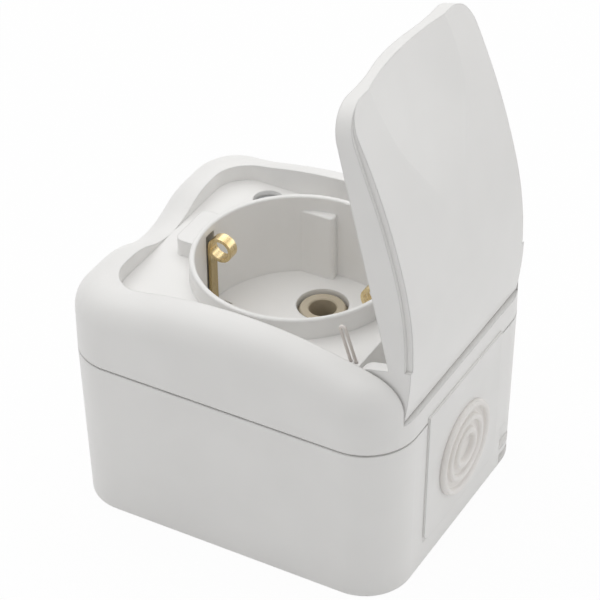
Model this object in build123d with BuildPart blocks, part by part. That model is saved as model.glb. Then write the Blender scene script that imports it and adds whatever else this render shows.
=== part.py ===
"""Surface-mounted earthed wall socket with a hinged splash lid, shown with its lid open.

Frame: origin at the centre of the back face that lies on the wall, +Z out of the wall,
+X towards the lid's hinge and the cable entry. All sizes are in millimetres.
"""

import os
from math import acos, asin, atan2, cos, degrees, radians, sin, sqrt

from build123d import *

os.makedirs("parts", exist_ok=True)

# Driving dimensions of the back box
body_length = 72.0
body_width = 61.0
corner_radius = 10.6
base_height = 35.5
draft_inset = 1.0
wall = 2.2
back_floor = 2.4
back_edge_round = 0.8
seam_gap = 0.4
seal_land = 1.1
seal_rebate = 1.2
wall_hole_diameter = 4.5
wall_hole_y = 22.5
wall_boss_rise = 2.0
key_notch_start = 18.2
key_notch_width = 10.6
key_notch_depth = 1.2
upper_notch_bottom = 4.4
upper_notch_height = 6.0
lower_notch_bottom = 0.9
lower_notch_height = 2.2

# Driving dimensions of the cable entry
entry_width = 30.2
entry_bottom = 6.0
entry_seam_lap = 1.3
entry_corner = 2.0
entry_flange = 1.4
entry_proud = 0.4
entry_overlap = 2.8
entry_lip = 1.0
grommet_height = 19.1
grommet_hole_diameter = 16.0
grommet_diameter = 19.6
grommet_skin = 0.8
grommet_ridge = 0.75
grommet_ridge_pitch = 2.65
grommet_ridges = 3

# Driving dimensions of the front cover
deck_rise = 12.1
deck = 2.0
rim_rise = 6.4
rim_width = 6.8
rim_round = 6.4
finger_rim = 7.7
shoulder_drop = 3.0
shoulder_blend = 40.0
arch_radius = 100.0
shoulder_run = 13.7
tray_corner = 7.0
dip_half = 15.0
trough_depth = 8.2
sill_rise = 1.3
sill_width = 2.0
knuckle_room = 1.0
cover_screw_x = 17.4
cover_screw_inset = 4.7
boss_wall = 1.1
screw_diameter = 3.0
screw_head_diameter = 5.6
screw_head_height = 2.0
screw_grip = 10.0
screw_slot = 0.9
screw_recess_depth = 3.0
post_diameter = 7.2

# Driving dimensions of the round recess and its contacts
recess_radius = 19.6
recess_depth = 18.0
recess_floor = 2.0
cup_wall = 1.1
cup_rim_round = 0.4
cup_rim_rise = 4.4
pin_spacing = 19.0
pin_bore_diameter = 5.5
bush_diameter = 9.2
bush_drop = 0.6
bush_seat = 3.1
bush_chamfer = 0.25
clip_width = 2.3
clip_thickness = 0.7
clip_eye_radius = 2.3
clip_eye_drop = 4.1
clip_setback = 0.5
clip_slot_reach = 3.3
bulge_half = 5.6
bulge_reach = 4.6
bulge_drop = 0.8
bulge_wall = 0.9
bulge_corner = 1.7
guide_rib_depth = 2.0
guide_rib_start = 6.6
guide_rib_sweep = 21.6
guide_rib_drop = 3.3
guide_rib_round = 0.4
insert_length = 29.5
insert_width = 31.0
insert_height = 21.7
insert_plate = 1.5
insert_screw_inset = 4.2
shelf_length = 12.0
shelf_height = 7.0
contact_bore_diameter = 4.9
contact_wall = 0.85
contact_strip = 0.8
contact_slit = 0.7
spring_ring = 0.4
spring_ring_drop = 3.2
spring_ring_height = 1.6
terminal_length = 7.0
terminal_width = 6.4
terminal_height = 7.0
terminal_wire_hole = 3.6

# Driving dimensions of the lid and its hinge
hinge_inset = 7.0
hinge_drop = 0.6
hinge_pin_diameter = 2.4
pin_seat = 3.6
knuckle_radius = 4.0
lid_open_angle = 77.1
lid_thickness = 1.25
lid_gap = 0.4
lid_rim_rise = 3.2
lid_crown_rise = 10.2
lid_crown_x = 6.5
lid_front_radius = 146.0
lid_back_radius = 74.0
lid_corner = 6.4
ledge_width = 0.75
ledge_drop = 1.25
ledge_run_out = 16.0
ear_width = 2.4
tail_gap = 0.2
scoop_half = 14.3
scoop_radius = 74.0
scoop_bend_x = -10.0
lip_drop = 1.5
spring_wire = 0.6
spring_gap = 1.1
spring_height = 7.1
spring_lean = 18.0
spring_seat = 1.4
spring_setback = 1.65

# Clearances
slip = 0.1
loose = 0.3
pin_clearance = 0.03
running_clearance = 0.06

# Levels and positions that follow from the driving dimensions
half_length = body_length / 2
half_width = body_width / 2
draft = degrees(atan2(draft_inset, base_height))
cover_bottom = base_height + seam_gap
entry_top = base_height + entry_seam_lap
tray_floor = base_height + deck_rise
deck_under = tray_floor - deck
crest = tray_floor + rim_rise
shoulder = crest - shoulder_drop
arch_start = shoulder_run - half_length
arch_middle = arch_start + sqrt(arch_radius**2 - (arch_radius - shoulder_drop) ** 2)
tray_left = finger_rim - half_length
tray_half = half_width - rim_width
hinge_x = half_length - hinge_inset
hinge_z = tray_floor - hinge_drop
hinge_axis = Axis((hinge_x, 0, hinge_z), (0, 1, 0))
trough_left = hinge_x - knuckle_radius - knuckle_room
trough_floor = tray_floor - trough_depth
sill = trough_floor + sill_rise
cup_rim = tray_floor + cup_rim_rise
cup_outer = recess_radius + cup_wall
recess_top = cup_rim - recess_depth
recess_under = recess_top - recess_floor
bulge_x = recess_radius + bulge_reach
pin_y = pin_spacing / 2
cover_screw_y = tray_half - cover_screw_inset
cover_screw_spots = [(-cover_screw_x, cover_screw_y), (cover_screw_x, cover_screw_y)]
cover_screw_seat = tray_floor - screw_recess_depth
screw_recess_radius = screw_head_diameter / 2 + loose
wall_hole_spots = [(0, wall_hole_y), (0, -wall_hole_y)]
insert_top = recess_under - loose
insert_bottom = insert_top - insert_height
plate_bottom = insert_bottom - insert_plate
insert_end = insert_length / 2
insert_screw_x = -insert_end + insert_screw_inset
insert_screw_y = insert_width / 2 - insert_screw_inset
insert_screw_seat = insert_bottom + 2 * screw_head_height
shelf_half = pin_y + terminal_width / 2 + insert_plate
contact_radius = contact_bore_diameter / 2 + contact_wall
chamber_radius = contact_radius + spring_ring + slip
bush_bottom = insert_top - bush_seat
contact_top = bush_bottom - slip
terminal_left = insert_end + shelf_length - terminal_length - slip
terminal_right = terminal_left + terminal_length
terminal_floor = insert_bottom + contact_strip
terminal_top = terminal_floor + terminal_height
terminal_x = (terminal_left + terminal_right) / 2
arm_x = recess_radius - clip_setback
eye_z = cup_rim - clip_eye_drop
eye_room = clip_eye_radius - clip_thickness / 2 - slip
eye_turn = 360 - degrees(acos(eye_room / (clip_eye_radius + clip_thickness / 2)))
strap_z = insert_top - clip_thickness - slip
strap_drop_x = (insert_end + terminal_left) / 2
lid_half = tray_half - lid_gap
lid_free_x = tray_left + lid_gap
lid_rim = tray_floor + lid_rim_rise
lid_face_top = tray_floor + lid_crown_rise
lid_tail_x = half_length - slip
spring_y = -cover_screw_y
spring_x = trough_left - spring_setback

# The plane of the drafted wall that holds the cable entry: its x is +Y and its y runs up the wall
entry_wall = Plane(
    origin=(half_length - draft_inset, 0, 0),
    x_dir=(0, 1, 0),
    z_dir=(cos(radians(draft)), 0, -sin(radians(draft))),
)
grommet_face = Plane(
    origin=entry_wall.from_local_coords((0, grommet_height, 0)),
    x_dir=(0, 1, 0),
    z_dir=entry_wall.z_dir,
)


def arch_height(x):
    """Height of the cover's arched rim at x."""
    return crest - arch_radius + sqrt(arch_radius**2 - (x - arch_middle) ** 2)


def face_height(x):
    """Height of the shut lid's outer face at x."""
    radius = lid_front_radius if x < lid_crown_x else lid_back_radius
    return lid_face_top - radius + sqrt(radius**2 - (x - lid_crown_x) ** 2)


def soft_dip(half, depth, low):
    """Draw one half of a soft dip: a valley arc that runs into a shoulder arc, from y = 0."""
    radius = (half**2 + depth**2) / (4 * depth)
    turn = degrees(asin(half / 2 / radius))
    valley = JernArc((0, low), (1, 0), radius, turn)
    JernArc(valley @ 1, valley % 1, radius, -turn)


def dip_outline(half, depth, low, top):
    """Draw half of the closed region from a soft dip up to the level top."""
    soft_dip(half, depth, low)
    Polyline((half, low + depth), (half, top), (0, top), (0, low))


def face_outline(drop, start_x, end_x, top):
    """Draw the closed region between the shut lid's face, lowered by drop, and the level top."""
    start = (start_x, face_height(start_x) - drop)
    crown = (lid_crown_x, lid_face_top - drop)
    end = (end_x, face_height(end_x) - drop)
    RadiusArc(start, crown, lid_front_radius)
    RadiusArc(crown, end, lid_back_radius)
    Polyline(end, (end_x, top), (start_x, top), start)


# Back box: one moulding with drafted walls, posts for the screws and a slot for the entry plate
with BuildPart() as base_box:
    with BuildSketch(Plane.XY.offset(base_height)):
        RectangleRounded(body_length, body_width, corner_radius)
    extrude(amount=-base_height, taper=draft)
    fillet(base_box.faces().sort_by(Axis.Z)[0].edges(), back_edge_round)
    with BuildSketch(Plane.XY.offset(base_height)):
        RectangleRounded(body_length - 2 * wall, body_width - 2 * wall, corner_radius - wall)
    extrude(amount=back_floor - base_height, taper=draft, mode=Mode.SUBTRACT)
    with BuildSketch(Plane.XY.offset(base_height - seal_rebate)):
        RectangleRounded(
            body_length - 2 * seal_land, body_width - 2 * seal_land, corner_radius - seal_land
        )
    extrude(amount=2 * seal_rebate, mode=Mode.SUBTRACT)
    # Shallow recess and slot for the entry plate, open at the top
    with BuildSketch(entry_wall):
        with Locations((0, entry_bottom - slip)):
            Rectangle(entry_width + 2 * slip, base_height, align=(Align.CENTER, Align.MIN))
    extrude(amount=entry_proud - entry_flange, mode=Mode.SUBTRACT)
    with BuildSketch(entry_wall):
        with Locations((0, entry_bottom + entry_overlap)):
            Rectangle(
                entry_width - 2 * entry_overlap, base_height, align=(Align.CENTER, Align.MIN)
            )
    extrude(amount=-2 * wall, mode=Mode.SUBTRACT)
    # Two shallow key notches low in the far corner
    with BuildSketch(entry_wall):
        with Locations((key_notch_start, upper_notch_bottom)):
            Rectangle(key_notch_width, upper_notch_height, align=Align.MIN)
        with Locations((key_notch_start, lower_notch_bottom)):
            Rectangle(key_notch_width, lower_notch_height, align=Align.MIN)
    extrude(amount=-key_notch_depth, mode=Mode.SUBTRACT)
    # Posts that carry the cover and pillars that carry the insert
    with BuildSketch(Plane.XY.offset(back_floor)):
        with Locations(*cover_screw_spots):
            Circle(post_diameter / 2)
    extrude(amount=cover_bottom - back_floor)
    with BuildSketch(Plane.XY.offset(back_floor)):
        with GridLocations(-2 * insert_screw_x, 2 * insert_screw_y, 2, 2):
            Circle(post_diameter / 2)
    extrude(amount=plate_bottom - back_floor)
    with Locations(*[(x, y, cover_bottom) for x, y in cover_screw_spots]):
        Hole(screw_diameter / 2 + pin_clearance, screw_grip + slip)
    with Locations(*[(insert_screw_x, side * insert_screw_y, plate_bottom) for side in (1, -1)]):
        Hole(screw_diameter / 2 + pin_clearance, plate_bottom - back_floor)
    # Bosses and holes for the two screws into the wall
    with BuildSketch(Plane.XY.offset(back_floor)):
        with Locations(*wall_hole_spots):
            Circle(wall_hole_diameter)
    extrude(amount=wall_boss_rise)
    with Locations(*[(x, y, back_floor + wall_boss_rise) for x, y in wall_hole_spots]):
        Hole(wall_hole_diameter / 2, back_floor + wall_boss_rise)
base_box.part.label = "base_box"
export_step(base_box.part, "parts/base_box.step")

# Cable entry plate: slides down into the slot, with a lip each side of the box wall
with BuildPart() as entry_plate:
    with BuildSketch(entry_wall.offset(entry_proud)) as entry_outline:
        with Locations((0, entry_bottom)):
            Rectangle(entry_width, entry_top - entry_bottom, align=(Align.CENTER, Align.MIN))
        fillet(entry_outline.vertices().group_by(Axis.Y)[0], entry_corner)
    extrude(amount=-entry_flange)
    plug_width = entry_width - 2 * entry_overlap - 2 * slip
    plug_bottom = entry_bottom + entry_overlap + slip
    plug_top = base_height - seal_rebate - 2 * slip
    with BuildSketch(entry_wall.offset(entry_proud - entry_flange)):
        with Locations((0, plug_bottom)):
            Rectangle(plug_width, plug_top - plug_bottom, align=(Align.CENTER, Align.MIN))
    extrude(amount=-(wall - entry_flange + entry_proud + slip))
    with BuildSketch(entry_wall.offset(-wall - slip)):
        with Locations((0, entry_bottom + entry_lip)):
            Rectangle(
                entry_width - 2 * entry_lip,
                plug_top - entry_bottom - entry_lip,
                align=(Align.CENTER, Align.MIN),
            )
    extrude(amount=-entry_lip)
    with BuildSketch(grommet_face.offset(entry_flange)):
        Circle(grommet_hole_diameter / 2)
    extrude(amount=-4 * wall, mode=Mode.SUBTRACT)
entry_plate.part.label = "entry_plate"
export_step(entry_plate.part, "parts/entry_plate.step")

# Cable grommet: soft stepped membrane with ring ridges to cut along, snapped into the plate
with BuildPart() as cable_grommet:
    neck_length = entry_proud + wall + slip + entry_lip
    neck_radius = grommet_hole_diameter / 2 - slip
    flange_radius = grommet_diameter / 2
    with BuildSketch(Plane(grommet_face.origin, x_dir=entry_wall.x_dir, z_dir=entry_wall.y_dir)):
        with BuildLine():
            Polyline(
                (0, -entry_proud - grommet_skin),
                (flange_radius, -entry_proud - grommet_skin),
                (flange_radius, -entry_proud),
                (neck_radius, -entry_proud),
                (neck_radius, neck_length - entry_proud),
                (neck_radius + entry_lip, neck_length - entry_proud),
                (neck_radius, neck_length - entry_proud + 2 * entry_lip),
                (neck_radius - entry_lip, neck_length - entry_proud + 2 * entry_lip),
                (neck_radius - entry_lip, 0),
                (0, 0),
                (0, -entry_proud - grommet_skin),
            )
        make_face()
        for ring in range(grommet_ridges):
            ridge_radius = flange_radius - grommet_ridge - ring * grommet_ridge_pitch
            with Locations((ridge_radius, -entry_proud - grommet_skin)):
                Circle(grommet_ridge)
    revolve(axis=Axis(grommet_face.origin, entry_wall.z_dir))
cable_grommet.part.label = "cable_grommet"
export_step(cable_grommet.part, "parts/cable_grommet.step")

# Cover seal: a flat gasket in the rebate round the box's mouth, the cover presses on it
with BuildPart() as cover_seal:
    seal_inset = seal_land + slip
    with BuildSketch(Plane.XY.offset(base_height - seal_rebate)):
        RectangleRounded(
            body_length - 2 * seal_inset, body_width - 2 * seal_inset, corner_radius - seal_inset
        )
        RectangleRounded(
            body_length - 2 * wall, body_width - 2 * wall, corner_radius - wall, mode=Mode.SUBTRACT
        )
    extrude(amount=seal_rebate + seam_gap)
cover_seal.part.label = "cover_seal"
export_step(cover_seal.part, "parts/cover_seal.step")

# Guide rib, a tool for the cover: it grows out of the recess wall up to one steep end
with BuildPart() as guide_rib:
    rib_back = Vector(0, recess_radius + cup_wall / 2, 0)
    rib_end = guide_rib_start + guide_rib_sweep
    rib_top = cup_rim - guide_rib_drop
    deep_corner = Vector(0, recess_radius - guide_rib_depth, rib_top).rotate(Axis.Z, guide_rib_start)
    with BuildSketch(Plane.XY.offset(rib_top)) as rib_plan:
        with BuildLine():
            outer = ThreePointArc(
                rib_back.rotate(Axis.Z, guide_rib_start),
                rib_back.rotate(Axis.Z, guide_rib_start + guide_rib_sweep / 2),
                rib_back.rotate(Axis.Z, rib_end),
            )
            Polyline(
                outer @ 0,
                (deep_corner.X, deep_corner.Y),
                Vector(0, recess_radius + slip, 0).rotate(Axis.Z, rib_end),
                outer @ 1,
            )
        make_face()
        fillet(rib_plan.vertices().sort_by_distance(deep_corner)[0], 2 * guide_rib_round)
    extrude(amount=recess_top - slip - rib_top)
    top_edges = guide_rib.faces().sort_by(Axis.Z)[-1].edges()
    fillet(top_edges.sort_by_distance(deep_corner)[:3], guide_rib_round)

# Front cover: arched rims round a flat tray, the round recess, and a trough for the hinge
with BuildPart() as front_cover:
    with BuildSketch(Plane.XY.offset(cover_bottom)):
        RectangleRounded(body_length, body_width, corner_radius)
    extrude(amount=crest - cover_bottom)
    # Top line seen from the side: level at the finger end, then one long arch
    past_end = half_length + wall
    over_top = crest + wall
    with BuildSketch(Plane.XZ) as top_line:
        with BuildLine():
            Line((-past_end, shoulder), (arch_start, shoulder))
            ThreePointArc(
                (arch_start, shoulder), (arch_middle, crest), (past_end, arch_height(past_end))
            )
            Polyline(
                (past_end, arch_height(past_end)),
                (past_end, over_top),
                (-past_end, over_top),
                (-past_end, shoulder),
            )
        make_face()
        blend_corner = top_line.vertices().sort_by_distance((arch_start, shoulder))[0]
        fillet(blend_corner, shoulder_blend)
    extrude(amount=body_width, both=True, mode=Mode.SUBTRACT)
    # Finger dip in the free end's rim, down to the tray floor
    with BuildSketch(Plane.YZ.offset(-past_end)):
        with BuildLine():
            dip_outline(dip_half, shoulder - tray_floor, tray_floor, over_top)
        make_face()
        mirror(about=Plane.YZ)
    extrude(amount=past_end + tray_left + tray_corner, mode=Mode.SUBTRACT)
    # One broad rounding where the top meets the side walls
    side_walls = front_cover.faces().filter_by(
        lambda face: face.bounding_box().min.Z < cover_bottom + slip and face.bounding_box().size.Z > deck
    )
    top_edges = side_walls.edges().filter_by(lambda edge: edge.bounding_box().min.Z > deck_under - deck)
    fillet(top_edges, rim_round)
    # Hollow inside: full height under the tray, low under the hinge trough
    with BuildSketch(Plane.XY.offset(cover_bottom)):
        RectangleRounded(body_length - 2 * wall, body_width - 2 * wall, corner_radius - wall)
        with Locations((trough_left - deck, 0)):
            Rectangle(body_length, body_width, align=(Align.MIN, Align.CENTER), mode=Mode.SUBTRACT)
    extrude(amount=deck_under - cover_bottom, mode=Mode.SUBTRACT)
    with BuildSketch(Plane.XY.offset(cover_bottom)):
        RectangleRounded(body_length - 2 * wall, body_width - 2 * wall, corner_radius - wall)
    extrude(amount=trough_floor - deck - cover_bottom, mode=Mode.SUBTRACT)
    # The side rims are cored from below so that the moulding keeps an even wall
    core_bottom = deck_under - slip
    core_top = crest - rim_round / 2 - wall / 2
    with BuildSketch(Plane.XZ.offset(-tray_half - deck)) as rim_core:
        with BuildLine():
            ThreePointArc(
                (-recess_radius, arch_height(-recess_radius) - crest + core_top),
                (arch_middle, core_top),
                (recess_radius, arch_height(recess_radius) - crest + core_top),
            )
            Polyline(
                (recess_radius, arch_height(recess_radius) - crest + core_top),
                (recess_radius, core_bottom),
                (-recess_radius, core_bottom),
                (-recess_radius, arch_height(-recess_radius) - crest + core_top),
            )
        make_face()
    extrude(amount=-(half_width - wall - tray_half - deck), mode=Mode.SUBTRACT)
    with BuildSketch(Plane.XZ.offset(tray_half + deck)):
        add(rim_core.sketch_local)
    extrude(amount=half_width - wall - tray_half - deck, mode=Mode.SUBTRACT)
    # Tray, and the hinge trough behind it with a low sill at the wall
    with BuildSketch(Plane.XY.offset(tray_floor)) as tray:
        with Locations((tray_left, 0)):
            Rectangle(body_length, 2 * tray_half, align=(Align.MIN, Align.CENTER))
        fillet(tray.vertices().group_by(Axis.X)[0], tray_corner)
    extrude(amount=over_top - tray_floor, mode=Mode.SUBTRACT)
    with BuildSketch(Plane.XZ):
        with BuildLine():
            Polyline(
                (trough_left, trough_floor),
                (half_length - sill_width, trough_floor),
                (half_length - sill_width, sill),
                (past_end, sill),
                (past_end, over_top),
                (trough_left, over_top),
                close=True,
            )
        make_face()
    extrude(amount=tray_half, both=True, mode=Mode.SUBTRACT)
    # Cup of the recess with a bulge each side for the earth clips
    with BuildSketch(Plane.XY.offset(recess_under)):
        Circle(cup_outer)
    extrude(amount=cup_rim - recess_under)
    with BuildSketch(Plane.XY.offset(recess_under)):
        RectangleRounded(2 * bulge_x, 2 * bulge_half, bulge_corner)
    extrude(amount=cup_rim - bulge_drop - recess_under)
    # Bosses for the cover screws
    with BuildSketch(Plane.XY.offset(cover_bottom)):
        with Locations(*cover_screw_spots):
            Circle(screw_recess_radius + boss_wall)
    extrude(amount=deck_under - cover_bottom)
    with BuildSketch(Plane.XY.offset(recess_top)):
        Circle(recess_radius)
    extrude(amount=recess_depth, mode=Mode.SUBTRACT)
    cup_edge = front_cover.faces().filter_by_position(Axis.Z, cup_rim - slip, cup_rim + slip)
    fillet(cup_edge.edges(), cup_rim_round)
    # Guide ribs, one each side of the pin holes
    add(guide_rib.part)
    add(guide_rib.part.rotate(Axis.Z, 180))
    # Slots for the earth clips in the cup's wall and floor
    clip_slot = clip_width + 2 * loose
    with BuildSketch(Plane.XY.offset(recess_under)):
        for side in (1, -1):
            with Locations((side * (bulge_x - bulge_wall), 0)):
                Rectangle(
                    bulge_x - bulge_wall - arm_x + clip_slot_reach,
                    clip_slot,
                    align=(Align.MAX if side > 0 else Align.MIN, Align.CENTER),
                )
    extrude(amount=cup_rim - bulge_drop - bulge_wall - recess_under, mode=Mode.SUBTRACT)
    # Holes for the pin bushes, the screws, the hinge pins and the spring's legs
    with Locations((0, pin_y, recess_top), (0, -pin_y, recess_top)):
        Hole(bush_diameter / 2 + 2 * loose, recess_floor)
    with Locations(*[(x, y, tray_floor) for x, y in cover_screw_spots]):
        CounterBoreHole(
            screw_diameter / 2 + slip, screw_recess_radius, screw_recess_depth, tray_floor - cover_bottom
        )
    with BuildSketch(Plane.XZ):
        with Locations((hinge_x, hinge_z)):
            Circle(hinge_pin_diameter / 2 + pin_clearance)
    extrude(amount=tray_half + pin_seat, both=True, mode=Mode.SUBTRACT)
    spring_foot = Plane(
        (spring_x, spring_y, tray_floor),
        x_dir=(cos(radians(spring_lean)), 0, sin(radians(spring_lean))),
        z_dir=(-sin(radians(spring_lean)), 0, cos(radians(spring_lean))),
    )
    with BuildSketch(spring_foot):
        with GridLocations(spring_gap, 0, 2, 1):
            Circle(spring_wire / 2 + pin_clearance)
    extrude(amount=spring_seat, both=True, mode=Mode.SUBTRACT)
    # Notch that lets the entry plate lap over the seam
    with BuildSketch(entry_wall):
        with Locations((0, base_height)):
            Rectangle(
                entry_width + 2 * slip, entry_seam_lap + slip, align=(Align.CENTER, Align.MIN)
            )
    extrude(amount=entry_proud - entry_flange - slip, both=True, mode=Mode.SUBTRACT)
front_cover.part.label = "front_cover"
export_step(front_cover.part, "parts/front_cover.step")

# Thumb scoop: its floor bends down from the lid's crown, then runs straight to the free edge
scoop_bend = asin((lid_crown_x - scoop_bend_x) / scoop_radius)
scoop_centre = Vector(lid_crown_x, 0, lid_face_top - scoop_radius)
scoop_up = Vector(-sin(scoop_bend), 0, cos(scoop_bend))
free_edge = Vector(lid_free_x, 0, face_height(lid_free_x))
scoop_depth = (free_edge - scoop_centre).dot(scoop_up) - scoop_radius
scoop_valley = (scoop_half**2 + scoop_depth**2) / (2 * scoop_depth)


def scoop_cutter(radius):
    """Make the round body whose underside is the scoop: a bent length, then a straight one."""
    with BuildPart() as cutter:
        with BuildSketch(Plane(scoop_centre, x_dir=(0, 1, 0), z_dir=(1, 0, 0))):
            with Locations((0, scoop_radius + scoop_valley)):
                Circle(radius)
        revolve(axis=Axis(scoop_centre, (0, -1, 0)), revolution_arc=degrees(scoop_bend))
        with BuildSketch(Plane(scoop_centre, x_dir=(0, 1, 0), z_dir=(scoop_up.Z, 0, -scoop_up.X))):
            with Locations((0, scoop_radius + scoop_valley)):
                Circle(radius)
        extrude(amount=-half_length)
    return cutter.part


# Lid, drawn shut: the hollow under its face is a piece of its own that is then taken away
lid_above = lid_face_top + wall
lid_below = lid_rim - 2 * wall
skirt_end = hinge_x - knuckle_radius

with BuildPart() as lid_hollow:
    # Wide between the skirts, then narrower up under the raised face
    hollow_left = lid_free_x + lid_thickness
    for step, drop in ((0, ledge_drop + lid_thickness), (ledge_width, lid_thickness)):
        with BuildSketch(Plane.XY.offset(lid_below)) as hollow_plan:
            with Locations((hollow_left + step, 0)):
                Rectangle(
                    skirt_end + wall - hollow_left - step,
                    2 * (lid_half - lid_thickness - step),
                    align=(Align.MIN, Align.CENTER),
                )
            fillet(hollow_plan.vertices().group_by(Axis.X)[0], lid_corner - lid_thickness - step)
        extrude(amount=lid_above - lid_below)
        with BuildSketch(Plane.XZ):
            with BuildLine():
                face_outline(drop, lid_free_x, lid_tail_x, lid_above + wall)
            make_face()
        extrude(amount=body_width, both=True, mode=Mode.SUBTRACT)
    add(scoop_cutter(scoop_valley + lid_thickness), mode=Mode.SUBTRACT)

with BuildPart() as lid_shut:
    # Skirt: its sides stop at a ledge that rises to the face at the free end
    with BuildSketch(Plane.XY.offset(lid_rim)) as skirt_plan:
        with Locations((lid_free_x, 0)):
            Rectangle(skirt_end - lid_free_x, 2 * lid_half, align=(Align.MIN, Align.CENTER))
        fillet(skirt_plan.vertices().group_by(Axis.X)[0], lid_corner)
    extrude(amount=lid_above - lid_rim)
    ledge_full_x = lid_free_x + ledge_run_out
    ledge_full = (ledge_full_x, face_height(ledge_full_x) - ledge_drop)
    ledge_crown = (lid_crown_x, lid_face_top - ledge_drop)
    ledge_tail = (lid_tail_x, face_height(lid_tail_x) - ledge_drop)
    ledge_end = (lid_free_x, face_height(lid_free_x) + slip)
    with BuildSketch(Plane.XZ):
        with BuildLine():
            ledge_line = RadiusArc(ledge_full, ledge_crown, lid_front_radius)
            RadiusArc(ledge_crown, ledge_tail, lid_back_radius)
            TangentArc(ledge_full, ledge_end, tangent=ledge_line % 0 * -1)
            Polyline(ledge_tail, (lid_tail_x, lid_above + wall), (lid_free_x, lid_above + wall), ledge_end)
        make_face()
    extrude(amount=body_width, both=True, mode=Mode.SUBTRACT)
    # Raised face between the ledges, as long as the skirt
    with BuildSketch(Plane.XY.offset(lid_rim)) as raised_plan:
        with Locations((lid_free_x, 0)):
            Rectangle(
                skirt_end - lid_free_x, 2 * (lid_half - ledge_width), align=(Align.MIN, Align.CENTER)
            )
        fillet(raised_plan.vertices().group_by(Axis.X)[0], lid_corner - ledge_width)
    extrude(amount=lid_above - lid_rim)
    with BuildSketch(Plane.XZ):
        with BuildLine():
            face_outline(0, lid_free_x - wall, lid_tail_x, lid_above + wall)
        make_face()
    extrude(amount=body_width, both=True, mode=Mode.SUBTRACT)
    # Lip under the thumb scoop, then the scoop itself and the hollow
    with BuildSketch(Plane.YZ.offset(lid_free_x)):
        with BuildLine():
            dip_outline(scoop_half, lip_drop, lid_rim - lip_drop, lid_rim + slip)
        make_face()
        mirror(about=Plane.YZ)
    extrude(amount=lid_corner)
    add(scoop_cutter(scoop_valley), mode=Mode.SUBTRACT)
    add(lid_hollow.part, mode=Mode.SUBTRACT)
    # Tail behind the hinge, as wide as the face
    with BuildSketch(Plane.XZ):
        with BuildLine():
            outer = RadiusArc(
                (skirt_end, face_height(skirt_end)), (lid_tail_x, face_height(lid_tail_x)), lid_back_radius
            )
            inner = RadiusArc(
                (skirt_end, face_height(skirt_end) - lid_thickness),
                (lid_tail_x, face_height(lid_tail_x) - lid_thickness),
                lid_back_radius,
            )
            Line(outer @ 0, inner @ 0)
            Line(outer @ 1, inner @ 1)
        make_face()
    extrude(amount=lid_half, both=True)
    # Ears down to the hinge, each with a round knuckle
    for side in (1, -1):
        with BuildSketch(Plane.XZ.offset(-side * (lid_half - ear_width))) as ear:
            with BuildLine():
                Polyline(
                    (skirt_end, face_height(skirt_end) - lid_thickness / 2),
                    (lid_tail_x, face_height(lid_tail_x) - lid_thickness / 2),
                    (hinge_x + knuckle_radius, hinge_z),
                    (hinge_x - knuckle_radius, hinge_z),
                    close=True,
                )
            make_face()
            with Locations((hinge_x, hinge_z)):
                Circle(knuckle_radius)
        extrude(amount=-side * ear_width)
    with BuildSketch(Plane.XZ):
        with Locations((hinge_x, hinge_z)):
            Circle(hinge_pin_diameter / 2 + running_clearance)
    extrude(amount=body_width, both=True, mode=Mode.SUBTRACT)

with BuildPart() as lid_shell:
    add(lid_shut.part.rotate(hinge_axis, lid_open_angle))
    # The tail ends just above the trough's sill when the lid stands open
    with BuildSketch(Plane.XY.offset(sill + tail_gap)):
        with Locations((hinge_x, 0)):
            Rectangle(body_length, body_width)
    extrude(amount=-trough_depth, mode=Mode.SUBTRACT)
lid_shell.part.label = "lid_shell"
export_step(lid_shell.part, "parts/lid_shell.step")

# Hinge pins: pushed outwards through the lid's ears into blind holes in the cover
with BuildPart() as hinge_pins:
    pin_inner = lid_half - ear_width + slip
    pin_outer = tray_half + pin_seat - slip
    with BuildSketch(Plane.XZ.offset(-pin_inner)):
        with Locations((hinge_x, hinge_z)):
            Circle(hinge_pin_diameter / 2)
    extrude(amount=pin_inner - pin_outer)
    mirror(about=Plane.XZ)
hinge_pins.part.label = "hinge_pins"
export_step(hinge_pins.part, "parts/hinge_pins.step")

# Lid spring: a wire hairpin whose legs stand in two holes in the tray floor
with BuildPart() as lid_spring:
    spring_plane = Plane(spring_foot.origin, x_dir=spring_foot.x_dir, z_dir=(0, -1, 0))
    with BuildLine(spring_plane) as spring_path:
        leg = Line((-spring_gap / 2, slip - spring_seat), (-spring_gap / 2, spring_height))
        bend = JernArc(leg @ 1, leg % 1, spring_gap / 2, -180)
        Line(bend @ 1, (spring_gap / 2, slip - spring_seat))
    with BuildSketch(Plane(spring_path.line @ 0, z_dir=spring_path.line % 0)):
        Circle(spring_wire / 2)
    sweep()
lid_spring.part.label = "lid_spring"
export_step(lid_spring.part, "parts/lid_spring.step")

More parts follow.
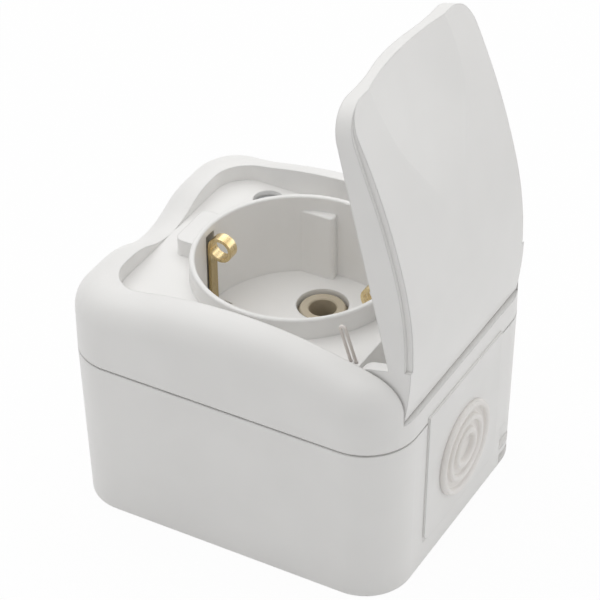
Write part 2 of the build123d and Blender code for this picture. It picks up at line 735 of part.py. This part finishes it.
# Contact insert, as one block: a chamber for each contact and a shelf for the terminals
with BuildPart() as insert_block:
    with BuildSketch(Plane.XY.offset(insert_bottom)):
        RectangleRounded(insert_length, insert_width, wall)
    extrude(amount=insert_height)
    with BuildSketch(Plane.XY.offset(insert_bottom)):
        with Locations((insert_end, 0)):
            Rectangle(2 * shelf_length, 2 * shelf_half)
    extrude(amount=shelf_height)
    with BuildSketch(Plane.XY.offset(insert_bottom)):
        with Locations((0, pin_y), (0, -pin_y)):
            Circle(chamber_radius)
    extrude(amount=insert_height, mode=Mode.SUBTRACT)
    with BuildSketch(Plane.XY.offset(bush_bottom)):
        with Locations((0, pin_y), (0, -pin_y)):
            Circle(bush_diameter / 2 + pin_clearance)
    extrude(amount=bush_seat, mode=Mode.SUBTRACT)
    # Pockets for the terminals, channels for the contacts' tails and the strap's groove
    with BuildSketch(Plane.XY.offset(insert_bottom)):
        with Locations(*[(terminal_left - slip, y) for y in (-pin_y, 0, pin_y)]):
            Rectangle(2 * terminal_length, terminal_width + 2 * slip, align=(Align.MIN, Align.CENTER))
        with Locations((strap_drop_x, 0)):
            Rectangle(clip_thickness + 2 * slip, clip_width + 2 * slip)
    extrude(amount=shelf_height, mode=Mode.SUBTRACT)
    with BuildSketch(Plane.XY.offset(insert_bottom)):
        with Locations((0, pin_y), (0, -pin_y)):
            Rectangle(terminal_left, contact_radius + slip, align=(Align.MIN, Align.CENTER))
        with Locations((strap_drop_x, 0)):
            Rectangle(terminal_length, clip_width + 2 * slip, align=(Align.MIN, Align.CENTER))
    extrude(amount=2 * contact_strip, mode=Mode.SUBTRACT)
    with BuildSketch(Plane.XY.offset(insert_top)):
        Rectangle(2 * insert_length, clip_width + 2 * slip)
    extrude(amount=strap_z - clip_thickness / 2 - slip - insert_top, mode=Mode.SUBTRACT)
    with Locations(*[(insert_screw_x, side * insert_screw_y, insert_top) for side in (1, -1)]):
        CounterBoreHole(
            screw_diameter / 2 + slip, screw_recess_radius, insert_top - insert_screw_seat, insert_height
        )

# The block is moulded as two carriers that meet in the middle, one for each contact
for name, side, kept in (("live_carrier", 1, Keep.BOTTOM), ("neutral_carrier", -1, Keep.TOP)):
    with BuildPart() as carrier:
        add(insert_block.part)
        split(bisect_by=Plane.XZ.offset(-side * slip / 2), keep=kept)
    carrier.part.label = name
    export_step(carrier.part, f"parts/{name}.step")

# Pin bushes: pressed into the carriers' seats, they show as rings round the pin holes
with BuildPart() as pin_bushes:
    with BuildSketch(Plane.XY.offset(bush_bottom)):
        with Locations((0, pin_y), (0, -pin_y)):
            Circle(bush_diameter / 2)
            Circle(pin_bore_diameter / 2, mode=Mode.SUBTRACT)
    extrude(amount=recess_top - bush_drop - bush_bottom)
    chamfer(pin_bushes.faces().group_by(Axis.Z)[-1].edges(), bush_chamfer)
pin_bushes.part.label = "pin_bushes"
export_step(pin_bushes.part, "parts/pin_bushes.step")

# Back plate of the insert: closes the chambers and carries the contacts
with BuildPart() as insert_back_plate:
    with BuildSketch(Plane.XY.offset(plate_bottom)):
        RectangleRounded(insert_length, insert_width, wall)
        with Locations((insert_end, 0)):
            Rectangle(2 * shelf_length, 2 * shelf_half)
    extrude(amount=insert_plate)
    with Locations(*[(insert_screw_x, side * insert_screw_y, insert_bottom) for side in (1, -1)]):
        Hole(screw_diameter / 2 + slip, insert_plate)
insert_back_plate.part.label = "insert_back_plate"
export_step(insert_back_plate.part, "parts/insert_back_plate.step")


def slotted_screws(name, spots, seat, length):
    """Make slotted screws: the heads stand on the level seat, the shanks hang below it."""
    with BuildPart() as screws:
        with BuildSketch(Plane.XY.offset(seat)):
            with Locations(*spots):
                Circle(screw_head_diameter / 2)
        extrude(amount=screw_head_height)
        with BuildSketch(Plane.XY.offset(seat)):
            with Locations(*spots):
                Circle(screw_diameter / 2)
        extrude(amount=-length)
        with BuildSketch(Plane.XY.offset(seat + screw_head_height)):
            with Locations(*spots):
                Rectangle(2 * screw_head_diameter, screw_slot)
        extrude(amount=-screw_head_height / 2, mode=Mode.SUBTRACT)
    screws.part.label = name
    export_step(screws.part, f"parts/{name}.step")


# Screws of the cover, the insert and the terminals
slotted_screws(
    "cover_screws", cover_screw_spots, cover_screw_seat, cover_screw_seat - cover_bottom + screw_grip
)
slotted_screws(
    "insert_screws",
    [(insert_screw_x, insert_screw_y), (insert_screw_x, -insert_screw_y)],
    insert_screw_seat,
    insert_screw_seat - back_floor - wall / 2,
)
slotted_screws(
    "terminal_screws", [(terminal_x, y) for y in (-pin_y, 0, pin_y)], terminal_top, terminal_height / 2
)

# Pin contacts: split sleeves on the back plate, each with a tail under its terminal
for name, y in (("live_contact", pin_y), ("neutral_contact", -pin_y)):
    with BuildPart() as contact:
        with BuildSketch(Plane.XY.offset(insert_bottom)):
            with Locations((0, y)):
                Circle(contact_radius)
        extrude(amount=contact_top - insert_bottom)
        with BuildSketch(Plane.XY.offset(insert_bottom)):
            with Locations((0, y)):
                Rectangle(terminal_right, contact_radius, align=(Align.MIN, Align.CENTER))
        extrude(amount=contact_strip)
        with BuildSketch(Plane.XY.offset(insert_bottom)):
            with Locations((0, y)):
                Circle(contact_bore_diameter / 2)
        extrude(amount=insert_height, mode=Mode.SUBTRACT)
        with BuildSketch(Plane.XY.offset(contact_top)):
            with Locations((0, y)):
                Rectangle(contact_slit, 3 * contact_radius)
                Rectangle(3 * contact_radius, contact_slit)
        extrude(amount=-(contact_top - insert_bottom) / 2, mode=Mode.SUBTRACT)
    contact.part.label = name
    export_step(contact.part, f"parts/{name}.step")

# Contact springs: an open steel ring round the fingers of each sleeve
with BuildPart() as contact_springs:
    with BuildSketch(Plane.XY.offset(contact_top - spring_ring_drop)):
        with Locations((0, pin_y), (0, -pin_y)):
            Circle(contact_radius + spring_ring)
            Circle(contact_radius, mode=Mode.SUBTRACT)
            with Locations((-contact_radius, 0)):
                Rectangle(2 * spring_ring + contact_wall, contact_slit, mode=Mode.SUBTRACT)
    extrude(amount=spring_ring_height)
contact_springs.part.label = "contact_springs"
export_step(contact_springs.part, "parts/contact_springs.step")

# Terminal blocks: a wire hole from the cable side and a screw hole from the front
for name, y in (("neutral_terminal", -pin_y), ("earth_terminal", 0), ("live_terminal", pin_y)):
    with BuildPart() as terminal:
        with BuildSketch(Plane.XY.offset(terminal_floor)):
            with Locations((terminal_x, y)):
                Rectangle(terminal_length, terminal_width)
        extrude(amount=terminal_height)
        with BuildSketch(Plane.YZ.offset(terminal_right)):
            with Locations((y, terminal_floor + contact_strip + terminal_wire_hole / 2)):
                Circle(terminal_wire_hole / 2)
        extrude(amount=-terminal_length, mode=Mode.SUBTRACT)
        with Locations((terminal_x, y, terminal_top)):
            Hole(screw_diameter / 2 + pin_clearance, terminal_height / 2 + slip)
    terminal.part.label = name
    export_step(terminal.part, f"parts/{name}.step")

# Earth strap: one bent strip with a curled clip at each end and a leg down to its terminal
with BuildPart() as earth_strap:
    with BuildSketch(Plane.XZ):
        with BuildLine():
            FilletPolyline(
                (-arm_x, eye_z),
                (-arm_x, strap_z),
                (arm_x, strap_z),
                (arm_x, eye_z),
                radius=2 * clip_thickness,
            )
            JernArc((-arm_x, eye_z), (0, 1), clip_eye_radius, -eye_turn)
            JernArc((arm_x, eye_z), (0, 1), clip_eye_radius, eye_turn)
        trace(line_width=clip_thickness)
    extrude(amount=clip_width / 2, both=True)
    leg_foot = insert_bottom + clip_thickness / 2
    with BuildSketch(Plane.XZ):
        with BuildLine():
            FilletPolyline(
                (strap_drop_x, strap_z),
                (strap_drop_x, leg_foot),
                (terminal_right, leg_foot),
                radius=2 * clip_thickness,
            )
        trace(line_width=clip_thickness)
    extrude(amount=clip_width / 2, both=True)
earth_strap.part.label = "earth_strap"
export_step(earth_strap.part, "parts/earth_strap.step")
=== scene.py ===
from math import atan2, cos, hypot, pi, radians, sin

import bmesh
import bpy
from mathutils import Matrix, Vector


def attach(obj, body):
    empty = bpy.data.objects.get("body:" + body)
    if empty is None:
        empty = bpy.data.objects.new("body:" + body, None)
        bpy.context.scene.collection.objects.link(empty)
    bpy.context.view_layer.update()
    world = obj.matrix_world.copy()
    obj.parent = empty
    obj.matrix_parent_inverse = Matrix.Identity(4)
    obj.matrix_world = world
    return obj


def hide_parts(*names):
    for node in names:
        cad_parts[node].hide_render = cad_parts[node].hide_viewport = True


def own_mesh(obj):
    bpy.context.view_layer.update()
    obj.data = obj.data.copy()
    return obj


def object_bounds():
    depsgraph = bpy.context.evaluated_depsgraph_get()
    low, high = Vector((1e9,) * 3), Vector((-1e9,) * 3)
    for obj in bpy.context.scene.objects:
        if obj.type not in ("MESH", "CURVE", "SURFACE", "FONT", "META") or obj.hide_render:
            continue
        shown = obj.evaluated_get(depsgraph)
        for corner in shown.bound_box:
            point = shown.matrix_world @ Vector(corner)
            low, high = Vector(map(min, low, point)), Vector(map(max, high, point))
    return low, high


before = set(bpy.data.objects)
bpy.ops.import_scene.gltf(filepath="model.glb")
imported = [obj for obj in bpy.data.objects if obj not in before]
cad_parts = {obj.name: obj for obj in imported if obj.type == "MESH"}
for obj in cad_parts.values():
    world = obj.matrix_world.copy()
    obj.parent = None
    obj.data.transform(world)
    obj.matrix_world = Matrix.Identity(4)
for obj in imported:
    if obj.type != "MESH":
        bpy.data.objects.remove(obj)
cad_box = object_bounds()


# Back box: the deep open tray that screws to the wall and takes the wires. It is
# injection moulded in white ABS, with drafted walls and a fine sparked grain, and has
# posts inside that the cover and the insert are screwed to.

def linear(hex_code):
    """An sRGB hex colour as the linear RGBA that the shader sockets take."""
    shares = [int(hex_code[i:i + 2], 16) / 255 for i in (1, 3, 5)]
    return [s / 12.92 if s <= 0.04045 else ((s + 0.055) / 1.055) ** 2.4 for s in shares] + [1]


def per_metre(size_mm):
    """The texture scale whose pattern repeats about every size_mm millimetres."""
    return 1000 / size_mm


def add_node(material, kind, settings=None, inputs=None):
    """Adds one node, with its settings, and its sockets set to values or linked to outputs."""
    node = material.node_tree.nodes.new(kind)
    for name, value in (settings or {}).items():
        setattr(node, name, value)
    for name, value in (inputs or {}).items():
        if isinstance(value, bpy.types.NodeSocket):
            material.node_tree.links.new(value, node.inputs[name])
        else:
            node.inputs[name].default_value = value
    return node


def new_material(name):
    """An empty node material."""
    material = bpy.data.materials.new(name)
    material.use_nodes = True
    material.node_tree.nodes.clear()
    return material


def moulded_plastic(name, light, dark, roughness, grain_mm, grain_depth_mm, edge_mm, ior):
    """A moulded plastic: slow flow clouds of colour, the mould's sparked grain, soft edges."""
    flow_mm = 16
    flow_range = (0.35, 0.65)
    grain_range = (0.3, 0.7)
    gloss_change = 0.04
    material = new_material(name)
    place = add_node(material, "ShaderNodeTexCoord").outputs["Object"]
    flow = add_node(material, "ShaderNodeTexNoise", inputs={
        "Vector": place, "Scale": per_metre(flow_mm), "Detail": 2.0, "Roughness": 0.5})
    tone = add_node(material, "ShaderNodeValToRGB", inputs={"Fac": flow.outputs["Fac"]})
    for stop, position, colour in zip(tone.color_ramp.elements, flow_range, (dark, light)):
        stop.position = position
        stop.color = linear(colour)
    grain = add_node(material, "ShaderNodeTexNoise", inputs={
        "Vector": place, "Scale": per_metre(grain_mm), "Detail": 3.0, "Roughness": 0.6})
    satin = add_node(material, "ShaderNodeMapRange", inputs={
        "Value": grain.outputs["Fac"], "From Min": grain_range[0], "From Max": grain_range[1],
        "To Min": roughness - gloss_change, "To Max": roughness + gloss_change})
    soft_edge = add_node(material, "ShaderNodeBevel", {"samples": 6}, {"Radius": edge_mm / 1000})
    bump = add_node(material, "ShaderNodeBump", inputs={
        "Height": grain.outputs["Fac"], "Strength": 1.0, "Distance": grain_depth_mm / 1000,
        "Normal": soft_edge.outputs["Normal"]})
    shader = add_node(material, "ShaderNodeBsdfPrincipled", inputs={
        "Base Color": tone.outputs["Color"], "Roughness": satin.outputs["Result"],
        "Normal": bump.outputs["Normal"], "IOR": ior})
    add_node(material, "ShaderNodeOutputMaterial", inputs={"Surface": shader.outputs["BSDF"]})
    return material


def dress(material, *nodes):
    """Gives CAD nodes their finish."""
    for name in nodes:
        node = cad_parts[name]
        node.data.materials.clear()
        node.data.materials.append(material)


# White ABS from a sparked mould has a satin skin with broad, soft lights. Its grain is
# too fine to show at its real 0.1 mm, so it is drawn about three times as coarse and
# very shallow.
white_abs = moulded_plastic("satin_white_abs", light="#F0EFED", dark="#EDECEA", roughness=0.42,
                            grain_mm=0.35, grain_depth_mm=0.006, edge_mm=0.45, ior=1.52)
dress(white_abs, "base_box")


# Cable entry plate: a frame that holds the grommet, moulded in white ABS with a duller
# skin than the box's, and slid down into the slot in the box's side.
white_entry = moulded_plastic("satin_white_entry", light="#EFEEEC", dark="#EBEAE8", roughness=0.45,
                              grain_mm=0.35, grain_depth_mm=0.006, edge_mm=0.3, ior=1.52)
dress(white_entry, "entry_plate")


# Slot web: a thin edge round the entry plate, of the box's white ABS and moulded with
# it. It takes up the play round the plate and rounds the slot's bottom corners.

def new_piece(name, form, material):
    """Makes a finished mesh into an object of the housing."""
    mesh = bpy.data.meshes.new(name)
    form.to_mesh(mesh)
    form.free()
    mesh.materials.append(material)
    piece = bpy.data.objects.new(name, mesh)
    bpy.context.collection.objects.link(piece)
    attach(piece, "housing")
    return piece


def thicken(form, faces, way):
    """Extrudes flat faces into a solid and keeps them as its back."""
    swept = bmesh.ops.extrude_face_region(form, geom=faces, use_keep_orig=True)["geom"]
    front = [part for part in swept if isinstance(part, bmesh.types.BMVert)]
    bmesh.ops.translate(form, verts=front, vec=way)


# The drafted wall as a plane: x along it, y up it, z out of it.
wall_foot = 0.035
wall_lean = 0.001
wall_rise = 0.0355
wall_draft = atan2(wall_lean, wall_rise)
entry_wall = (Matrix.Translation((wall_foot, 0, 0)) @ Matrix.Rotation(pi / 2 + wall_draft, 4, "Y")
              @ Matrix.Rotation(pi / 2, 4, "Z"))
slot_half_width = 0.0152
slot_bottom = 0.0059
slot_top = 0.0369
slot_depth = 0.001
slot_play = 0.0001
web_sink = 0.00002
plate_round = 0.002
plate_round_steps = 10


def slot_outline(form, play):
    """Adds a face that fills the slot but for some play, and returns its bottom corners."""
    left, right = play - slot_half_width, slot_half_width - play
    bottom, top = slot_bottom + play, slot_top - play
    corners = [form.verts.new((x, y, -slot_depth))
               for x, y in ((left, bottom), (right, bottom), (right, top), (left, top))]
    form.faces.new(corners)
    return corners[:2]


web_form = bmesh.new()
plate_corners = slot_outline(web_form, slot_play)
bmesh.ops.bevel(web_form, geom=plate_corners, offset=plate_round, offset_type="OFFSET",
                segments=plate_round_steps, profile=0.5, affect="VERTICES", material=-1)
slot_outline(web_form, play=0)
bmesh.ops.delete(web_form, geom=list(web_form.faces), context="FACES_ONLY")
bmesh.ops.triangle_fill(web_form, edges=list(web_form.edges), use_beauty=True)
thicken(web_form, list(web_form.faces), way=(0, 0, slot_depth - web_sink))
bmesh.ops.recalc_face_normals(web_form, faces=web_form.faces)
bmesh.ops.transform(web_form, matrix=entry_wall, verts=web_form.verts)
new_piece("slot_edge_web", web_form, white_abs)


# Grommet: a membrane moulded in thermoplastic rubber, matt and a little warmer than the
# plastic, and snapped into the plate. It has three round beads, and is cut along a
# groove between them to let a cable in. Here it is whole.
cream_rubber = moulded_plastic("matt_cream_rubber", light="#F5F2EF", dark="#EFECE8", roughness=0.6,
                               grain_mm=0.5, grain_depth_mm=0.012, edge_mm=0.3, ior=1.5)
grommet_height = 0.0191
bead_top = 0.0015
bead_width = 0.0013
bead_round = 0.00055
groove_round = 0.0003
groove_floor = 0.00055
middle_skin = 0.0003
rim_back = 0.0004
rim_radius = 0.0098
outer_radii = (rim_radius, 0.00705, 0.0043)
neck_radius = 0.0079
neck_back = -0.0033
barb_radius = 0.0089
barb_back = -0.0053
neck_bore = 0.0069
grommet_steps = 96
bead_round_steps = 5
merge_distance = 1e-6
# Half of its section, as radii and heights over the wall.
outline = [(0, 0), (neck_bore, 0), (neck_bore, barb_back), (neck_radius, barb_back),
           (barb_radius, neck_back), (neck_radius, neck_back), (neck_radius, rim_back),
           (rim_radius, rim_back)]
for radius in outer_radii:
    inner = radius - bead_width
    floor_height = groove_floor if radius > outer_radii[-1] else middle_skin
    if radius < rim_radius:
        outline.append((radius, groove_floor))
    outline += [(radius, bead_top), (inner, bead_top), (inner, floor_height)]
outline.append((0, middle_skin))
grommet_form = bmesh.new()
rim_verts = [grommet_form.verts.new((radius, 0, height)) for radius, height in outline]
rim_edges = [grommet_form.edges.new(pair) for pair in zip(rim_verts, rim_verts[1:])]
bmesh.ops.spin(grommet_form, geom=rim_verts + rim_edges, cent=(0, 0, 0), axis=(0, 0, 1),
               dvec=(0, 0, 0), angle=2 * pi, steps=grommet_steps, use_merge=True)
bmesh.ops.remove_doubles(grommet_form, verts=grommet_form.verts, dist=merge_distance)
bmesh.ops.recalc_face_normals(grommet_form, faces=grommet_form.faces)


def runs_round(edge, height):
    """Whether an edge is part of a ring at this height, away from the middle."""
    radii = [hypot(v.co.x, v.co.y) for v in edge.verts]
    return (all(abs(v.co.z - height) < merge_distance for v in edge.verts)
            and min(radii) > bead_width and abs(radii[0] - radii[1]) < merge_distance)


for height, rounding in ((bead_top, bead_round), (groove_floor, groove_round),
                         (middle_skin, groove_round)):
    rings = [edge for edge in grommet_form.edges if runs_round(edge, height)]
    bmesh.ops.bevel(grommet_form, geom=rings, offset=rounding, offset_type="OFFSET",
                    segments=bead_round_steps, profile=0.5, affect="EDGES", clamp_overlap=True,
                    material=-1)
for face in grommet_form.faces:
    face.smooth = True
bmesh.ops.transform(grommet_form, matrix=entry_wall @ Matrix.Translation((0, grommet_height, 0)),
                    verts=grommet_form.verts)
grommet = new_piece("stepped_grommet", grommet_form, cream_rubber)
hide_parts("cable_grommet")


# Seal: a strip of closed-cell foam in the rebate round the top of the box, which the
# cover presses flat. Only its matt edge shows, as the dark line of the seam.
grey_foam = moulded_plastic("grey_closed_cell_foam", light="#A3A29E", dark="#8F8E8A",
                            roughness=0.85, grain_mm=0.6, grain_depth_mm=0.08, edge_mm=0.1,
                            ior=1.45)
dress(grey_foam, "cover_seal")


# Insert: two carriers side by side that hold the live pieces, moulded in glass-filled
# polyamide of a dull, warm beige. A bush of the same stuff is pressed into each and
# shows as the ring round a pin hole, and a plate closes both at the back.
beige_polyamide = moulded_plastic("dull_beige_polyamide", light="#C8BDA9", dark="#BDB19B",
                                  roughness=0.5, grain_mm=0.45, grain_depth_mm=0.012, edge_mm=0.2,
                                  ior=1.53)
dress(beige_polyamide, "live_carrier", "neutral_carrier", "pin_bushes", "insert_back_plate")


# Contacts: tubes and strips folded from rolled brass, the terminals sawn from brass
# bar, and the earth strap whose two sprung clips stand in the recess. The brass of
# the clip arms below the eyes is painted darker, as painted shade of the dark slot.

def rolled_metal(name, light, dark, roughness, line_mm, run_mm, line_depth_mm, metallic=1.0,
                 painted_shade_colour=None, shade_below_mm=0):
    """A rolled or drawn metal: fine lines along its run, clouds of tarnish, painted shade low down.
    """
    cloud_mm = 3.0
    cloud_range = (0.3, 0.7)
    line_range = (0.3, 0.7)
    shade_fade_mm = 1.4
    gloss_gain = 0.06
    gloss_loss = 0.08
    # The Mix node's colour sockets go by number, because its other kinds share their names.
    mix_first, mix_second, mix_result = 6, 7, 2
    material = new_material(name)
    place = add_node(material, "ShaderNodeTexCoord").outputs["Object"]
    clouds = add_node(material, "ShaderNodeTexNoise", inputs={
        "Vector": place, "Scale": per_metre(cloud_mm), "Detail": 3.0, "Roughness": 0.55})
    tone = add_node(material, "ShaderNodeValToRGB", inputs={"Fac": clouds.outputs["Fac"]})
    for stop, position, colour in zip(tone.color_ramp.elements, cloud_range, (dark, light)):
        stop.position = position
        stop.color = linear(colour)
    height = add_node(material, "ShaderNodeSeparateXYZ", inputs={"Vector": place})
    # Painted shade: the colour turns darker below a set height, for the shade low in the clip slot.
    painted_shade_share = add_node(material, "ShaderNodeMapRange", inputs={
        "Value": height.outputs["Z"], "From Min": (shade_below_mm - shade_fade_mm) / 1000,
        "From Max": shade_below_mm / 1000, "To Min": 1.0, "To Max": 0.0})
    shaded_tone = add_node(material, "ShaderNodeMix", {"data_type": "RGBA"}, {
        "Factor": painted_shade_share.outputs["Result"], mix_first: tone.outputs["Color"],
        mix_second: linear(painted_shade_colour or dark)})
    stretched = add_node(material, "ShaderNodeMapping", inputs={
        "Vector": place,
        "Scale": (per_metre(line_mm), per_metre(line_mm), per_metre(run_mm))})
    lines = add_node(material, "ShaderNodeTexNoise", inputs={
        "Vector": stretched.outputs["Vector"], "Scale": 1.0, "Detail": 2.0, "Roughness": 0.5})
    polish = add_node(material, "ShaderNodeMapRange", inputs={
        "Value": lines.outputs["Fac"], "From Min": line_range[0], "From Max": line_range[1],
        "To Min": roughness - gloss_gain, "To Max": roughness + gloss_loss})
    bump = add_node(material, "ShaderNodeBump", inputs={
        "Height": lines.outputs["Fac"], "Strength": 1.0, "Distance": line_depth_mm / 1000})
    shader = add_node(material, "ShaderNodeBsdfPrincipled", inputs={
        "Base Color": shaded_tone.outputs[mix_result], "Metallic": metallic,
        "Roughness": polish.outputs["Result"], "Normal": bump.outputs["Normal"]})
    add_node(material, "ShaderNodeOutputMaterial", inputs={"Surface": shader.outputs["BSDF"]})
    return material


# The darker colour below 46.2 mm is painted shade on the arms of the clips.
brass = rolled_metal("rolled_brass", light="#EFDCB0", dark="#DCC18A", roughness=0.26, line_mm=0.25,
                     run_mm=4.0, line_depth_mm=0.004, painted_shade_colour="#B39F74", shade_below_mm=46.2)
dress(brass, "live_contact", "neutral_contact", "live_terminal", "neutral_terminal",
      "earth_terminal", "earth_strap")


# Clip curls: the tips of the two earth clips, of the strap's own brass. They are pressed
# flush against the arms, so that each eye is closed.
curl_width = 0.0023
eye_middle = Vector((0.0168, -curl_width / 2, 0.0479))
eye_inside = 0.00195
curl_outside = 0.00265
curl_end = radians(45.8)
curl_tip = radians(14)
curl_steps = 6
# Seen from the side: how far each corner lies beyond the eye's middle, and below it.
curl_corners = [(eye_inside * cos(curl_end), eye_inside * sin(curl_end)),
                (curl_outside * cos(curl_end), curl_outside * sin(curl_end)),
                (eye_inside, (curl_outside ** 2 - eye_inside ** 2) ** 0.5),
                (eye_inside, eye_inside * sin(curl_tip))]
curl_form = bmesh.new()
curl_verts = [curl_form.verts.new(eye_middle + Vector((reach, 0, -drop)))
              for reach, drop in curl_corners]
tip_verts = bmesh.ops.spin(curl_form, geom=curl_verts[:1], cent=eye_middle, axis=(0, 1, 0),
                           dvec=(0, 0, 0), angle=curl_tip - curl_end,
                           steps=curl_steps)["geom_last"]
for pair in zip(curl_verts, curl_verts[1:] + tip_verts):
    curl_form.edges.new(pair)
bmesh.ops.edgeloop_fill(curl_form, edges=list(curl_form.edges))
thicken(curl_form, list(curl_form.faces), way=(0, curl_width, 0))
bmesh.ops.mirror(curl_form, geom=[*curl_form.verts, *curl_form.edges, *curl_form.faces],
                 axis="X", merge_dist=merge_distance)
bmesh.ops.recalc_face_normals(curl_form, faces=curl_form.faces)
new_piece("clip_curl_ends", curl_form, brass)


# Screws, hinge pins and the rings that squeeze the contacts: steel with a bright
# zinc plating, a little cloudy.
zinc = rolled_metal("bright_zinc_on_steel", light="#D2D4D6", dark="#BDBFC2", roughness=0.3,
                    line_mm=0.3, run_mm=1.2, line_depth_mm=0.003)
dress(zinc, "cover_screws", "insert_screws", "terminal_screws", "hinge_pins", "contact_springs")


# Front cover: the frame with the soft raised rim, the tray and the round plug recess,
# moulded in one piece in the same white ABS and screwed down on the box.
dress(white_abs, "front_cover")


# Lid spring: a hairpin of steel wire with a pale zinc-flake coat. It stands in the tray
# beside the hinge, and here stays fixed to the housing.
spring_wire = rolled_metal("zinc_flake_coated_wire", light="#EEE8E4", dark="#DDD6D1", roughness=0.5,
                           line_mm=0.2, run_mm=5.0, line_depth_mm=0.002, metallic=0.15)
dress(spring_wire, "lid_spring")
hairpin_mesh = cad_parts["lid_spring"].data.copy()
hairpin = bpy.data.objects.new("hairpin_spring", hairpin_mesh)
bpy.context.collection.objects.link(hairpin)
wire = bmesh.new()
wire.from_mesh(hairpin_mesh)
bmesh.ops.remove_doubles(wire, verts=wire.verts, dist=merge_distance)
for face in wire.faces:
    face.smooth = True
wire.to_mesh(hairpin_mesh)
wire.free()
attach(hairpin, "housing")
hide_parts("lid_spring")
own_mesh(hairpin)


# Lid: the hinged flap over the recess, a thin domed shell with a thumb scoop in its
# free edge, moulded in the same white ABS and held open here on its two pins.
dress(white_abs, "lid_shell")


# Stage: a white floor that the object lies on, back down, and a white room round it.
# Both show as plain white, and the floor keeps a soft trace of the shadow.
floor_side = 6.0
floor_drop = 0.0001
shadow_share = 0.05
ambient_light = 0.41
plain_white = linear("#FFFFFF")
floor_mesh = bpy.data.meshes.new("studio_floor")
floor_form = bmesh.new()
bmesh.ops.create_grid(floor_form, x_segments=1, y_segments=1, size=floor_side / 2)
bmesh.ops.translate(floor_form, verts=floor_form.verts, vec=(0, 0, cad_box[0][2] - floor_drop))
floor_form.to_mesh(floor_mesh)
floor_form.free()
studio_floor = bpy.data.objects.new("studio_floor", floor_mesh)
bpy.context.collection.objects.link(studio_floor)


def seen_directly(material):
    """1 for rays that show the white room, and 0 for rays that light the object."""
    path = add_node(material, "ShaderNodeLightPath").outputs
    mirrored = add_node(material, "ShaderNodeMath", {"operation": "MAXIMUM"}, {
        0: path["Is Glossy Ray"], 1: path["Is Transmission Ray"]})
    seen = add_node(material, "ShaderNodeMath", {"operation": "MAXIMUM"}, {
        0: path["Is Camera Ray"], 1: mirrored.outputs["Value"]})
    return seen.outputs["Value"]


white_floor = new_material("white_studio_floor")
paper = add_node(white_floor, "ShaderNodeBsdfDiffuse", inputs={"Color": linear("#F8F8F8")})
glow = add_node(white_floor, "ShaderNodeEmission", inputs={"Color": plain_white, "Strength": 1.0})
glow_share = add_node(white_floor, "ShaderNodeMath", {"operation": "MULTIPLY"}, {
    0: seen_directly(white_floor), 1: 1 - shadow_share})
floor_mix = add_node(white_floor, "ShaderNodeMixShader", inputs={
    0: glow_share.outputs["Value"], 1: paper.outputs["BSDF"], 2: glow.outputs["Emission"]})
add_node(white_floor, "ShaderNodeOutputMaterial", inputs={"Surface": floor_mix.outputs["Shader"]})
floor_mesh.materials.append(white_floor)

white_room = bpy.data.worlds.new("white_room")
bpy.context.scene.world = white_room
white_room.use_nodes = True
white_room.node_tree.nodes.clear()
room_light = add_node(white_room, "ShaderNodeBackground", inputs={
    "Color": plain_white, "Strength": ambient_light})
room_seen = add_node(white_room, "ShaderNodeBackground", inputs={
    "Color": plain_white, "Strength": 1.0})
room_mix = add_node(white_room, "ShaderNodeMixShader", inputs={
    0: seen_directly(white_room), 1: room_light.outputs["Background"],
    2: room_seen.outputs["Background"]})
add_node(white_room, "ShaderNodeOutputWorld", inputs={"Surface": room_mix.outputs["Shader"]})


# Light: the white room itself, a very broad soft box overhead that leaves the open lid
# in its own shade, and a weak one low on the far side for the lid and the entry wall.
object_middle = (cad_box[0] + cad_box[1]) / 2
lamp_distance = 1.1


def soft_box(name, direction, side, watts):
    """A square area lamp that looks at the object from a direction."""
    lamp = bpy.data.lights.new(name, "AREA")
    lamp.size = side
    lamp.energy = watts
    holder = bpy.data.objects.new(name, lamp)
    bpy.context.collection.objects.link(holder)
    holder.location = object_middle + lamp_distance * Vector(direction).normalized()
    holder.rotation_euler = Vector(direction).to_track_quat("Z", "Y").to_euler()


soft_box("overhead_soft_box", direction=(-0.24, 0.1, 0.95), side=1.8, watts=11.2)
soft_box("hinge_side_soft_box", direction=(0.78, 0.5, 0.25), side=0.9, watts=2.1)


# Camera: the photograph's long lens, looking down on the corner between the front
# wall and the hinge side.
azimuth = radians(29.87)
elevation = radians(36.636)
roll = radians(-0.841)
camera_distance = 0.5503
camera_target = Vector((-0.007322, 0.01334, 0.030))
sensor_mm = 36
focal_length_mm = 165.76
back = Vector((sin(azimuth) * cos(elevation), -cos(azimuth) * cos(elevation), sin(elevation)))
right = Vector((cos(azimuth), sin(azimuth), 0))
up = back.cross(right)
rolled_right = cos(roll) * right + sin(roll) * up
rolled_up = cos(roll) * up - sin(roll) * right
lens = bpy.data.cameras.new("long_lens")
lens.sensor_width = sensor_mm
lens.lens = focal_length_mm
camera = bpy.data.objects.new("camera", lens)
bpy.context.collection.objects.link(camera)
camera.matrix_world = Matrix.Translation(camera_target + back * camera_distance) @ Matrix(
    (rolled_right, rolled_up, back)).transposed().to_4x4()
bpy.context.scene.camera = camera
bpy.context.scene.view_settings.view_transform = "Standard"
